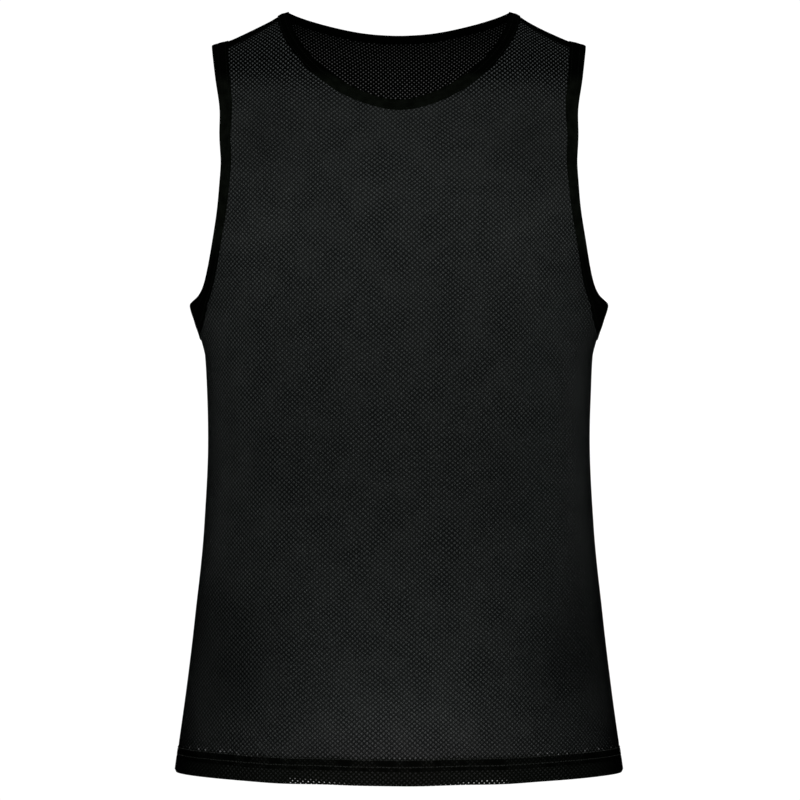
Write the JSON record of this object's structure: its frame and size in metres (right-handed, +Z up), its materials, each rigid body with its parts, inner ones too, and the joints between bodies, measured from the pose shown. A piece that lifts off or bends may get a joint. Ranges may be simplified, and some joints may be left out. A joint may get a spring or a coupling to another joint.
{
  "type": "training bib",
  "caption": "Sleeveless mesh bib, open at neck, armholes and hem, with bound edges and a turned-up hem.",
  "frame": {"origin": "midway between the two high shoulder points, where the shoulder seams meet the neck; the wearer's shoulders hold the bib at this level", "axes": "+Z up, the bib's front faces -Y, +X towards the wearer's left side"},
  "size_m": [0.4166, 0.2369, 0.7062],
  "materials": {
    "mesh_cloth": "black polyester mesh knit, matt with a faint sheen",
    "binding_tape": "black plain knit tape, matt"
  },
  "bodies": {
    "root": {"front_panel": "mesh_cloth", "back_panel": "mesh_cloth", "neck_binding": "binding_tape", "armhole_binding_left": "binding_tape", "armhole_binding_right": "binding_tape"}
  },
  "joints": []
}
